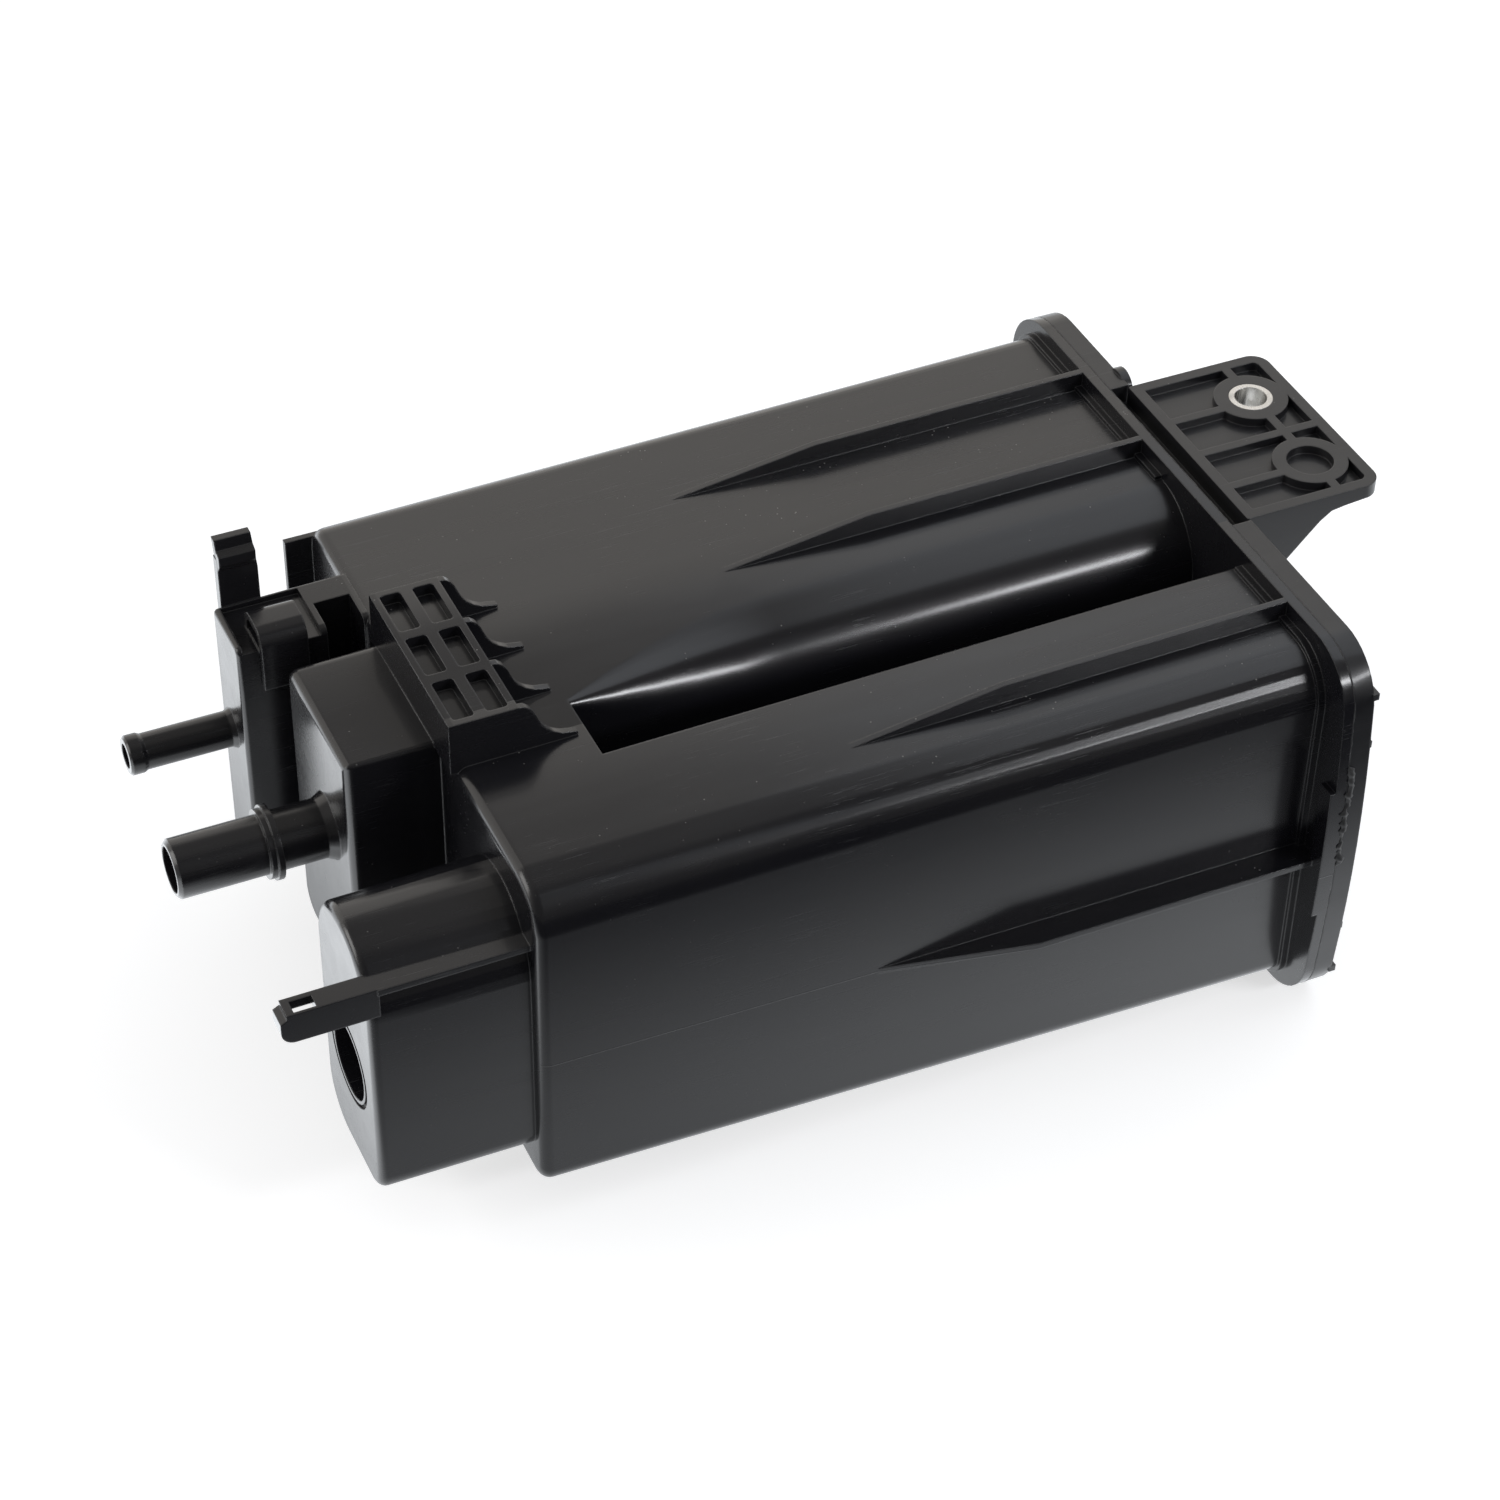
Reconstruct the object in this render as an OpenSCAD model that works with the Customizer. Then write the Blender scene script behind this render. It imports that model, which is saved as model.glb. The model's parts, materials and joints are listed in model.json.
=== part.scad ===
// Fuel vapour canister: a drafted housing with two carbon chambers and three port boxes, an end
// cover welded on with its bracket, and the grids, felts, beds, plates and springs inside.
// The ports point along -X, the far side is +Y and the pad is on top, +Z.
// The origin is on the axis of the bracket sleeve, level with the top of the bracket.

/* [Housing] */
// Length from the front wall to the flange
body_len = 209.5; // [190:0.5:240]
// Width over both chambers at the front wall
body_width = 157.5; // [152:0.5:175]
// Height at the front wall
body_height = 97; // [94:0.5:115]
// Wall thickness
wall = 2.5; // [2:0.1:3]
// Rise of the top from the front wall to the flange
draft_top = 2.8; // [0.5:0.1:4]
// Fall of the bottom from the front wall to the flange
draft_bottom = 6; // [1:0.1:8]
// Spread of the near side from the front wall to the flange
draft_near = 2.2; // [0.5:0.1:3]
// Spread of the far side from the front wall to the flange
draft_far = 1; // [0.5:0.1:3]
// Radius of the edges of the front wall
front_edge_r = 3; // [1.5:0.1:4]
// Radius of the long edge at the near side of the top
near_top_r = 13; // [8:0.5:16]
// Radius of the long edge at the far side of the top
far_top_r = 8; // [5:0.5:12]
// Radius of the long edges of the bottom
bottom_r = 6; // [4:0.5:9]

/* [Slot between the chambers] */
// Width of the vent chamber, which is the near one
vent_width = 42.5; // [40:0.5:50]
// Width of the slot
slot_w = 19.5; // [16:0.5:22]
// Distance from the front wall to the slot
slot_start = 34; // [30:0.5:45]
// Radius of the main chamber's long edge at the slot
slot_edge_r = 20; // [12:0.5:22]
// Length over which that edge rounds out
slot_edge_len = 60; // [40:1:90]
// Radius of the vent chamber's long edges at the slot
slot_vent_r = 2; // [1:0.1:3]

/* [Flange] */
// Thickness of the housing flange
flange_t = 3; // [2.5:0.1:4]
// Height of the flange over the top
flange_over = 5.3; // [4:0.1:7]
// Reach of the flange below the bottom
flange_under = 4.5; // [3.5:0.1:6]
// Reach of the flange beyond the near side
flange_near = 9.5; // [7:0.1:11]
// Reach of the flange beyond the far side
flange_far = 6.5; // [5:0.1:9]
// Radius of the flange's corners
flange_r = 16; // [12:0.5:18]
// Bow of the flange's upright sides
flange_bow = 2; // [0.5:0.1:3]
// Length of the thicker collar in front of the flange
collar_len = 2; // [1:0.1:3]
// Height of the collar over the walls
collar_h = 1.1; // [0.6:0.1:1.5]

/* [Ribs] */
// Distance from the front wall to the point of each rib
rib_start = 89; // [75:1:105]
// Distance from the front wall to where each rib has its full height
rib_full = 130; // [115:1:150]
// Thickness of a rib
rib_t = 1.8; // [1.4:0.1:2.4]
// Distance of the far top rib from the near side
rib_far_y = 127; // [118:0.5:135]
// Distance of the middle top rib from the near side
rib_mid_y = 94; // [86:0.5:104]
// Distance of the near top rib from the near side
rib_near_y = 19.5; // [16:0.5:26]
// Depth of the side ribs below the top
rib_side_z = 56; // [45:0.5:65]
// Height of the side ribs as a share of the flange's reach
rib_side_share = 0.8; // [0.6:0.05:1]

/* [Ladder pad] */
// Distance from the near side to the pad
pad_y = 50.3; // [48:0.1:54]
// Width of the pad across the housing
pad_w = 54.9; // [48:0.1:58]
// Length of the pad along the housing
pad_len = 17.9; // [15:0.1:19]
// Height of the pad over the top
pad_h = 13.7; // [10:0.1:16]
// Depth of the pockets in the pad
pad_pocket_depth = 3.2; // [2:0.1:5]
// Thickness of the pad's outer walls
pad_wall = 1.9; // [1.6:0.1:2.6]
// Thickness of the walls between the pockets
pad_rib = 3.1; // [2:0.1:3.6]
// Distance from the front wall to where the gussets end
gusset_end = 31.5; // [28:0.5:33.5]
// Thickness of a gusset
gusset_t = 1.8; // [1.4:0.1:2.4]

/* [Tank port box] */
// Length of the box in front of the front wall
tank_box_len = 24.2; // [20:0.1:28]
// Distance from the near side to the box
tank_box_y = 61.3; // [58:0.1:64]
// Width of the box
tank_box_w = 43.7; // [38:0.1:46]
// Height of the box
tank_box_h = 81; // [70:0.5:88]
// Distance from the near side to the tank nipple's axis
tank_axis_y = 78; // [75:0.1:84]
// Outer diameter of the tank nipple
tank_od = 15.4; // [14:0.1:16.4]
// Bore of the tank nipple
tank_bore = 12; // [10.5:0.1:12.6]
// Length of the tank nipple
tank_nipple_len = 41.4; // [34:0.5:46]
// Distance from the nipple's root to its stop ring
tank_ring_at = 15; // [9:0.1:18]

/* [Purge port box] */
// Length of the box in front of the front wall
purge_box_len = 33.7; // [30:0.1:38]
// Distance from the near side to the box
purge_box_y = 113.2; // [110:0.1:116]
// Width of the box
purge_box_w = 20; // [18:0.1:24]
// Height of the box
purge_box_h = 76; // [60:0.5:84]
// Outer diameter of the purge nipple
purge_od = 9.5; // [9:0.1:11]
// Bore of the purge nipple
purge_bore = 6.6; // [5:0.1:7]
// Length of the purge nipple
purge_nipple_len = 28.8; // [24:0.1:32]
// Depth of the tank nipple's axis below the top
nipple_depth = 32; // [28:0.5:36]
// Depth of the purge nipple's axis below the top
purge_depth = 33.5; // [28:0.5:36]

/* [Vent port box] */
// Length of the box in front of the front wall
vent_box_len = 40; // [36:0.1:44]
// Distance from the near side to the box
vent_box_y = 4.5; // [3:0.1:6]
// Width of the box
vent_box_w = 38; // [34:0.1:40]
// Depth of the box's crown below the top
vent_box_drop = 10.6; // [8:0.1:13]
// Height of the box
vent_box_h = 77.9; // [70:0.1:82]
// Depth of the vent port's axis below the top
vent_axis_depth = 57; // [52:0.5:60]
// Diameter of the vent port
vent_port_d = 20.8; // [18:0.1:22]
// Length of the vent port's socket
vent_port_len = 16; // [12:0.5:20]

/* [Snap arms] */
// Length of the arm in front of the vent box
arm_len = 19.5; // [16:0.1:24]
// Width of the arm
arm_w = 5.8; // [5:0.1:8]
// Height of the arm
arm_h = 8.8; // [7:0.1:10]
// Depth of the arm's top below the housing's top
arm_depth = 17.3; // [14:0.1:20]
// Height of the upright snap over the housing's top
snap_h = 20; // [15:0.5:24]
// Width of the upright snap
snap_w = 9.6; // [8:0.1:12]

/* [End cover and bracket] */
// Thickness of the cover
cover_t = 5.6; // [4:0.1:6.4]
// Depth of the notch in the cover's top in front of the bracket
cover_notch = 5.5; // [4:0.1:7]
// Height of the ribs on the outside of the cover
cover_rib_h = 1.4; // [1:0.1:3]
// Height of the bracket's top over the housing's top
bracket_z = 8; // [6:0.1:11]
// Thickness of the bracket's plate
bracket_t = 4; // [3.6:0.1:7]
// Reach of the bracket beyond the housing flange
bracket_len = 45.8; // [42:0.1:50]
// Width of the bracket
bracket_w = 63.4; // [62:0.1:68]
// Distance from the near side to the bracket
bracket_y = 52.1; // [48:0.1:56]
// Distance from the flange to the axis of the sleeve
sleeve_x = 33; // [31:0.1:34]
// Distance from the bracket's far edge to the axis of the sleeve
sleeve_inset = 17; // [15:0.1:18]
// Distance between the sleeve and the blind boss
boss_pitch = 30.7; // [28:0.1:32]
// Outer diameter of the bosses
boss_d = 20; // [18:0.1:21]
// Outer diameter of the sleeve
sleeve_od = 11.8; // [11.4:0.1:13]
// Hole of the sleeve
sleeve_hole = 8.7; // [8.4:0.1:9.4]
// Length of the sleeve
sleeve_len = 12.5; // [10:0.5:16]
// Depth of the webs under the bracket
web_drop = 30; // [20:0.5:36]
// Diameter of the blind recess
blind_d = 12.4; // [10:0.1:14]

/* [Inner pieces] */
// Gap between an inner piece and the chamber wall
inner_gap = 0.4; // [0.3:0.05:0.6]
// Thickness of the grids
grid_t = 2.5; // [2:0.1:3.5]
// Distance from the front wall's inside to the grids
grid_stand = 6; // [5:0.5:9]
// Thickness of the felts
felt_t = 3; // [2:0.1:4]
// Distance from the pressure plates' backs to the flange's back
plate_back = 22; // [18:0.5:26]
// Thickness of the pressure plates
plate_t = 3; // [2.5:0.1:4]
// Diameter of the holes in grids and plates
hole_d = 5; // [4:0.1:6]
// Distance between the holes
hole_pitch = 11; // [10:0.1:14]
// Wire diameter of the springs
wire_d = 2; // [1.6:0.1:2.4]
// Mean diameter of the springs
spring_d = 26; // [22:0.5:27]
// Turns of each spring
spring_turns = 3.5; // [3:0.5:4]
// Depth of the recess inside the cover
plenum_depth = 2.5; // [2:0.1:3]

/* [Hidden] */

housing_col = [0.06, 0.06, 0.065];
cover_col = [0.07, 0.07, 0.075];
steel_col = [0.72, 0.72, 0.70];
grid_col = [0.16, 0.16, 0.17];
felt_col = [0.82, 0.80, 0.74];
carbon_col = [0.03, 0.03, 0.03];
foam_col = [0.22, 0.22, 0.24];

// Overrun of every cut
over = 1;
// Smallest radius that an edge keeps
least_r = 0.5;
// Steps of a quarter of a rounded edge, of a rounded end and of the slot's flare
arc_steps = 10;
end_steps = 5;
flare_steps = 5;
$fn = 64;

far_y0 = vent_width + slot_w;
// The slot's roundings end this far past the faces, so they meet them at a small angle
slot_lift = 0.05;
lug_t = 1.6;
lug_depth = 3.5;
lug_shares = [0.31, 0.74];
flange_back = body_len + flange_t;
cover_back = flange_back + cover_t;
recess_x = flange_back + plenum_depth;
sleeve_axis = [flange_back + sleeve_x, bracket_y + bracket_w - sleeve_inset];

// The sides of the drafted housing at a distance from the front wall
function share(x) = x / body_len;
function near_at(x) = -draft_near * share(x);
function far_at(x) = body_width + draft_far * share(x);
function top_at(x) = draft_top * share(x);
function bottom_at(x) = -body_height - draft_bottom * share(x);
function body_box(x) = [near_at(x), bottom_at(x), far_at(x), top_at(x)];
function slot_near_at(x) = vent_width;
function vent_box_at(x) = [near_at(x), bottom_at(x), vent_width, top_at(x)];
function main_box_at(x) = [far_y0, bottom_at(x), far_at(x), top_at(x)];

// A box is its lowest and highest corner in Y and Z. Radii go far top, near top, near bottom, far bottom.
function inset_box(b, d) = [b[0] + d, b[1] + d, b[2] - d, b[3] - d];
function inset_radii(radii, d) = [for (r = radii) max(r - d, least_r)];
function arc(c, r, from, to) =
    [for (i = [0:arc_steps]) let (a = from + (to - from) * i / arc_steps) c + r * [cos(a), sin(a)]];
function outline(b, radii) = concat(
    arc([b[2] - radii[0], b[3] - radii[0]], radii[0], 0, 90),
    arc([b[0] + radii[1], b[3] - radii[1]], radii[1], 90, 180),
    arc([b[0] + radii[2], b[1] + radii[2]], radii[2], 180, 270),
    arc([b[2] - radii[3], b[1] + radii[3]], radii[3], 270, 360));

// A solid through outlines, each given with its place along X. Its end faces are fans from the first point,
// or the triangles of the cap.
module loft(rings, cap = []) {
    n = len(rings[0][1]);
    last = len(rings) - 1;
    points = [for (ring = rings) for (p = ring[1]) [ring[0], p[0], p[1]]];
    sides = [for (i = [0:last - 1]) for (j = [0:n - 1])
        let (k = (j + 1) % n, a = i * n + j, b = i * n + k, c = a + n, d = b + n)
        each [[a, c, d], [a, d, b]]];
    front = len(cap) > 0 ? cap : [for (j = [1:n - 2]) [0, j, j + 1]];
    back = [for (t = front) [last * n + t[0], last * n + t[2], last * n + t[1]]];
    polyhedron(points, concat(front, sides, back), convexity = 6);
}

// The outline drawn along X between two places, straight
module prism(x0, x1, b, radii) {
    translate([x0, 0, 0])
        rotate([90, 0, 90])
            linear_extrude(x1 - x0)
                polygon(outline(b, radii));
}

// The outline of a port box: full at its root, a little smaller at its end, with a rounded end edge
function port_rings(length, b, radii, edge, draft) = concat(
    [for (k = [0:end_steps]) let (a = 90 * k / end_steps, d = edge * (1 - sin(a)) + draft)
        [-length + edge * (1 - cos(a)), outline(inset_box(b, d), inset_radii(radii, d))]],
    [[wall / 2, outline(b, radii)]]);

module cylinder_x(x0, x1, y, z, d) {
    translate([x0, y, z])
        rotate([0, 90, 0])
            cylinder(h = x1 - x0, d = d);
}

// Everything is drawn from the front wall, and placed on the sleeve's axis
module from_sleeve() {
    translate([-sleeve_axis[0], -sleeve_axis[1], -bracket_z])
        children();
}

// Housing: the drafted block, cut by the slot

body_radii = [far_top_r, near_top_r, bottom_r, bottom_r];

module body_block() {
    front = [for (k = [0:end_steps]) let (a = 90 * k / end_steps, d = front_edge_r * (1 - sin(a)),
                                          x = front_edge_r * (1 - cos(a)))
        [x, outline(inset_box(body_box(x), d), inset_radii(body_radii, d))]];
    loft(concat(front, [[body_len + flange_t / 2, outline(body_box(body_len + flange_t / 2), body_radii)]]));
}

// The slot's section: straight walls that flare into the rounded edges of both chambers. It has a
// point in the middle of its top, then runs down the near wall, and back up the far one.
function slot_outline(x, r, b) =
    let (y0 = vent_width, y1 = far_y0, z1 = top_at(x) + slot_lift, z0 = bottom_at(x) - slot_lift,
         s = slot_vent_r, mid = (y0 + y1) / 2)
    concat([[mid, z1 + flange_over], [y0 - s, z1 + flange_over]],
           arc([y0 - s, z1 - s], s, 90, 0),
           arc([y0 - s, z0 + s], s, 0, -90),
           [[y0 - s, z0 - flange_over], [mid, z0 - flange_over], [y1 + b, z0 - flange_over]],
           arc([y1 + b, z0 + b], b, 270, 180),
           arc([y1 + r, z1 - r], r, 180, 90),
           [[y1 + r, z1 + flange_over]]);

// Its end faces, as fans from the middle points of its top and bottom
function fan(hub, first, last) = [for (j = [first:last - 1]) [hub, j, j + 1]];
low_mid = 2 * arc_steps + 5;
slot_cap = concat(fan(0, 1, arc_steps + 3), [[0, arc_steps + 3, low_mid]], fan(low_mid, arc_steps + 3, low_mid - 1),
                  [[0, low_mid, low_mid + arc_steps + 2]], fan(low_mid, low_mid + 1, low_mid + arc_steps + 2),
                  fan(0, low_mid + arc_steps + 2, low_mid + 2 * arc_steps + 4));

module slot() {
    loft(concat(
        [for (k = [0:flare_steps]) let (u = k / flare_steps, v = sin(90 * u))
            [slot_start + slot_edge_len * u,
             slot_outline(slot_start + slot_edge_len * u, slot_vent_r + (slot_edge_r - slot_vent_r) * v,
                          slot_vent_r + (bottom_r - slot_vent_r) * v)]],
        [[body_len, slot_outline(body_len, slot_edge_r, bottom_r)]]), slot_cap);
}

// The web between the chambers at the front is open below
module web_pocket() {
    translate([wall, vent_width + wall, bottom_at(slot_start) - over])
        cube([slot_start - 2 * wall, slot_w - 2 * wall, -bottom_at(slot_start) + over - wall]);
}

flange_box = [near_at(body_len) - flange_near, bottom_at(body_len) - flange_under,
              far_at(body_len) + flange_far, top_at(body_len) + flange_over];

// The flange's outline, a rounded box whose upright sides are bowed
bow_steps = 8;
function bowed(y, rise, from, to) =
    [for (i = [1:bow_steps - 1]) let (t = i / bow_steps) [y + rise * 4 * t * (1 - t), from + (to - from) * t]];
flange_outline = let (b = flange_box, r = flange_r) concat(
    arc([b[2] - r, b[3] - r], r, 0, 90),
    arc([b[0] + r, b[3] - r], r, 90, 180),
    bowed(b[0], -flange_bow, b[3] - r, b[1] + r),
    arc([b[0] + r, b[1] + r], r, 180, 270),
    arc([b[2] - r, b[1] + r], r, 270, 360),
    bowed(b[2], flange_bow, b[1] + r, b[3] - r));

module flange_plate(x0, x1) {
    translate([x0, 0, 0])
        rotate([90, 0, 90])
            linear_extrude(x1 - x0)
                polygon(flange_outline);
}

// The near side's flange is thicker along the middle, where the side rib meets it
module flange_lug() {
    translate([body_len - lug_t, 0, 0])
        rotate([90, 0, 90])
            linear_extrude(lug_t + flange_t / 2)
                intersection() {
                    polygon(flange_outline);
                    translate([flange_box[0] - flange_bow - over, -body_height * lug_shares[1]])
                        square([flange_bow + over + lug_depth, body_height * (lug_shares[1] - lug_shares[0])]);
                }
}

module collar() {
    b = inset_box(body_box(body_len), -collar_h);
    prism(body_len - collar_len, body_len + flange_t / 2, b, inset_radii(body_radii, -collar_h));
}

// A stiffening rib: a point, a rise to its full height, then level to the flange
module rib_profile(draft, reach) {
    root = wall / 2;
    polygon([[rib_start, draft * share(rib_start)],
             [rib_full, draft * share(rib_full) + reach],
             [body_len + flange_t / 2, draft + reach],
             [body_len + flange_t / 2, draft - root],
             [rib_start, draft * share(rib_start) - root]]);
}

module top_rib(y) {
    translate([0, y + rib_t / 2, 0])
        rotate([90, 0, 0])
            linear_extrude(rib_t)
                rib_profile(draft_top, flange_over);
}

module bottom_rib(y) {
    translate([0, y - rib_t / 2, -body_height])
        rotate([-90, 0, 0])
            linear_extrude(rib_t)
                rib_profile(draft_bottom, flange_under);
}

module side_ribs() {
    translate([0, 0, -rib_side_z - rib_t / 2])
        linear_extrude(rib_t) {
            mirror([0, 1])
                rib_profile(draft_near, flange_near * rib_side_share);
            translate([0, body_width])
                rib_profile(draft_far, flange_far * rib_side_share);
        }
}

// Chamber insides
function vent_inside(x, gap) = inset_box(vent_box_at(x), wall + gap);
function main_inside(x, gap) = inset_box(main_box_at(x), wall + gap);
function vent_inside_radii(gap) = inset_radii([slot_vent_r + wall, near_top_r, bottom_r, slot_vent_r + wall], wall + gap);
function main_inside_radii(gap) = inset_radii([far_top_r, slot_edge_r, bottom_r, bottom_r], wall + gap);

module chamber_insides() {
    x1 = flange_back + over;
    loft([[wall, outline(vent_inside(wall, 0), vent_inside_radii(0))],
          [x1, outline(vent_inside(x1, 0), vent_inside_radii(0))]]);
    loft([[wall, outline(main_inside(wall, 0), main_inside_radii(0))],
          [x1, outline(main_inside(x1, 0), main_inside_radii(0))]]);
}

// Port boxes
tank_box = [tank_box_y, -tank_box_h, tank_box_y + tank_box_w, 0];
tank_radii_share = [0.11, 0.035, 0.14, 0.2];
tank_radii = tank_box_w * tank_radii_share;
purge_box = [purge_box_y, -purge_box_h, purge_box_y + purge_box_w, 0];
purge_radii_share = [0.08, 0.12, 0.2, 0.2];
purge_radii = purge_box_w * purge_radii_share;
vent_box = [vent_box_y, -vent_box_drop - vent_box_h, vent_box_y + vent_box_w, -vent_box_drop];
vent_crown_r = vent_box_w / 2 - least_r;
vent_radii = [vent_crown_r, vent_crown_r, vent_box_w * 0.2, vent_box_w * 0.37];
box_edge_r = 2.4;
box_draft = 0.5;
purge_axis_y = purge_box_y + purge_box_w * 0.57;
purge_gap = [purge_box_len * 0.3, purge_box_w * 0.54, purge_box_h * 0.3];
purge_low_box = [purge_box[0], purge_box[1], purge_box[2], purge_box[3] - purge_gap[2]];
vent_axis_y = vent_box_y + vent_box_w / 2;

module port_boxes() {
    loft(port_rings(tank_box_len, tank_box, tank_radii, box_edge_r, box_draft));
    loft(port_rings(purge_box_len, purge_box, purge_radii, box_edge_r / 2, box_draft));
    loft(port_rings(vent_box_len, vent_box, vent_radii, box_edge_r, box_draft));
}

module port_box_insides() {
    in = wall + box_draft;
    prism(wall - tank_box_len, wall + over, inset_box(tank_box, in), inset_radii(tank_radii, in));
    prism(wall - purge_box_len, -purge_gap[0] - wall, inset_box(purge_box, in), inset_radii(purge_radii, in));
    prism(-purge_gap[0] - wall - over, wall + over, inset_box(purge_low_box, in), inset_radii(purge_radii, in));
    prism(wall + vent_port_len - vent_box_len, wall + over, inset_box(vent_box, in),
          inset_radii(vent_radii, in));
}

// Nipples: a hose stub with a flared root, a stop ring or an end bead, and a chamfered mouth
module nipple(y, depth, length, box_len, d, ring, tip_r) {
    chamfer = d * 0.06;
    flare = d * 0.1;
    r = d / 2;
    translate([-box_len, y, -depth])
        rotate([0, -90, 0])
            rotate_extrude()
                polygon(concat([[0, -wall / 2], [r + flare, -wall / 2], [r + flare, 0], [r, flare * 2]], ring,
                               [[tip_r, length - chamfer], [tip_r - chamfer, length], [0, length]]));
}

ring_rise = 2;
ring_w = 3.2;
bead_rise = 0.5;
bead_w = 4.6;

module nipples() {
    rt = tank_od / 2;
    rp = purge_od / 2;
    ring = [[rt, tank_ring_at], [rt + ring_rise, tank_ring_at],
            [rt + ring_rise, tank_ring_at + ring_w / 2],
            [rt + ring_rise * 0.65, tank_ring_at + ring_w / 2],
            [rt + ring_rise * 0.65, tank_ring_at + ring_w], [rt, tank_ring_at + ring_w]];
    bead_at = purge_nipple_len - bead_w;
    bead = [[rp, bead_at], [rp + bead_rise, bead_at + bead_rise * 2]];
    nipple(tank_axis_y, nipple_depth, tank_nipple_len, tank_box_len - box_draft, tank_od, ring, rt);
    nipple(purge_axis_y, purge_depth, purge_nipple_len, purge_box_len - box_draft, purge_od, bead,
           rp + bead_rise);
}

module port_bores() {
    cylinder_x(-tank_box_len - tank_nipple_len - over, wall - tank_box_len + over, tank_axis_y, -nipple_depth,
               tank_bore);
    cylinder_x(-purge_box_len - purge_nipple_len - over, wall - purge_box_len + over, purge_axis_y,
               -purge_depth, purge_bore);
    cylinder_x(-vent_box_len - over, wall + vent_port_len - vent_box_len + over, vent_axis_y,
               -vent_axis_depth, vent_port_d);
}

// Groove round the vent port's mouth, with its key notch
groove_gap = 0.9;
groove_w = 1.2;
groove_depth = 1.4;

module vent_groove() {
    difference() {
        cylinder_x(-vent_box_len - over, groove_depth - vent_box_len, vent_axis_y, -vent_axis_depth,
                   vent_port_d + 2 * (groove_gap + groove_w));
        cylinder_x(-vent_box_len - 2 * over, groove_depth - vent_box_len + over, vent_axis_y,
                   -vent_axis_depth, vent_port_d + 2 * groove_gap);
    }
}

// Ladder pad: six pockets, and gussets that run down to the top in an S
pad_rows = 3;
pad_cols = 2;
pad_r = 1;
pad_x = -1.4;

module pad_block() {
    w = (pad_len - 2 * pad_wall - (pad_cols - 1) * pad_rib) / pad_cols;
    h = (pad_w - 2 * pad_wall - (pad_rows - 1) * pad_rib) / pad_rows;
    difference() {
        translate([pad_x, pad_y, -wall / 2])
            cube([pad_len, pad_w, pad_h + wall / 2]);
        for (row = [0:pad_rows - 1], col = [0:pad_cols - 1])
            translate([pad_x + pad_wall + col * (w + pad_rib), pad_y + pad_wall + row * (h + pad_rib),
                       pad_h - pad_pocket_depth])
                linear_extrude(pad_pocket_depth + over)
                    rounded_plate(w, h, pad_r);
    }
}

module rounded_plate(w, h, r) {
    polygon(outline([0, 0, w, h], [r, r, r, r]));
}

// S-shaped side view of a gusset, from the pad's top down to the housing's top, as shares of its length and height
gusset_shares = [[0, 1], [0.13, 0.98], [0.22, 0.9], [0.29, 0.78], [0.34, 0.64], [0.39, 0.5], [0.47, 0.37],
                 [0.59, 0.25], [0.74, 0.16], [1, 0.1]];

module gusset_profile() {
    x0 = pad_x + pad_len - least_r;
    x1 = gusset_end;
    polygon(concat([[x0, -wall / 2]], [for (g = gusset_shares) [x0 + g[0] * (x1 - x0), g[1] * pad_h]],
                   [[x1, -wall / 2]]));
}

module gussets() {
    pitch = (pad_w - gusset_t) / pad_rows;
    for (i = [0:pad_rows])
        translate([0, pad_y + gusset_t + i * pitch, 0])
            rotate([90, 0, 0])
                linear_extrude(gusset_t)
                    gusset_profile();
}

// Purge box top: a shallow tray, the gap to the front wall, the upright snap and the strap loop
tray_depth = 2;
tray_rim = 1.6;
snap_t = 2.2;
snap_lean = 1.1;
loop_t = 2;

module purge_tray() {
    translate([-purge_box_len + tray_rim, purge_box_y - over, -tray_depth])
        cube([purge_box_len - purge_gap[0] - 2 * tray_rim, purge_box_w - tray_rim + over, tray_depth + over]);
    translate([-purge_gap[0], purge_box_y - over, -purge_gap[2]])
        cube([purge_gap[0] - least_r, purge_gap[1] + over, purge_gap[2] + over]);
}

// A plate at the far edge with a barb near its top, and a thin leg at its side
module upright_snap() {
    x0 = -purge_box_len + tray_rim * 1.9;
    y0 = purge_box_y + purge_box_w - least_r;
    barb = snap_t * 1.1;
    translate([x0, y0 + snap_t, 0])
        rotate([90, 0, 0])
            linear_extrude(snap_t)
                polygon([[0, -tray_depth * 2], [snap_w, -tray_depth * 2], [snap_w, snap_h * 0.45],
                         [snap_w - snap_lean, snap_h], [-snap_lean, snap_h], [-snap_lean * 0.3, snap_h * 0.45]]);
    translate([x0 - snap_lean * 0.7, y0 + least_r, snap_h])
        rotate([90, 0, 90])
            linear_extrude(snap_w)
                polygon([[0, -snap_t * 1.4], [-barb, -snap_t * 2], [-barb, -snap_t * 3.2],
                         [0, -snap_t * 4.8]]);
    translate([x0 - tray_rim * 0.5, y0, -tray_depth * 2])
        cube([tray_rim, snap_t * 1.3, snap_h * 0.68 + tray_depth * 2]);
}

// A strap bent over the tray, with a tab that hangs down the near side
module strap_loop() {
    rise = pad_h * 0.33;
    reach = purge_box_w * 0.58;
    inner = rise - loop_t;
    translate([-purge_box_len * 0.83, purge_box_y, 0])
        rotate([90, 0, 90])
            linear_extrude(purge_box_len * 0.36)
                difference() {
                    polygon(concat([[reach, -tray_depth - least_r]],
                                   arc([reach - rise, 0], rise, 0, 90),
                                   arc([inner, 0], rise, 90, 180),
                                   [[-loop_t, -pad_h * 0.95], [0, -pad_h * 0.95], [0, -tray_depth - least_r]]));
                    polygon(concat([[reach - loop_t, -tray_depth + least_r]],
                                   arc([reach - rise, 0], inner, 0, 90),
                                   arc([inner, 0], inner, 90, 180),
                                   [[0, -tray_depth + least_r]]));
                }
}

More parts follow.
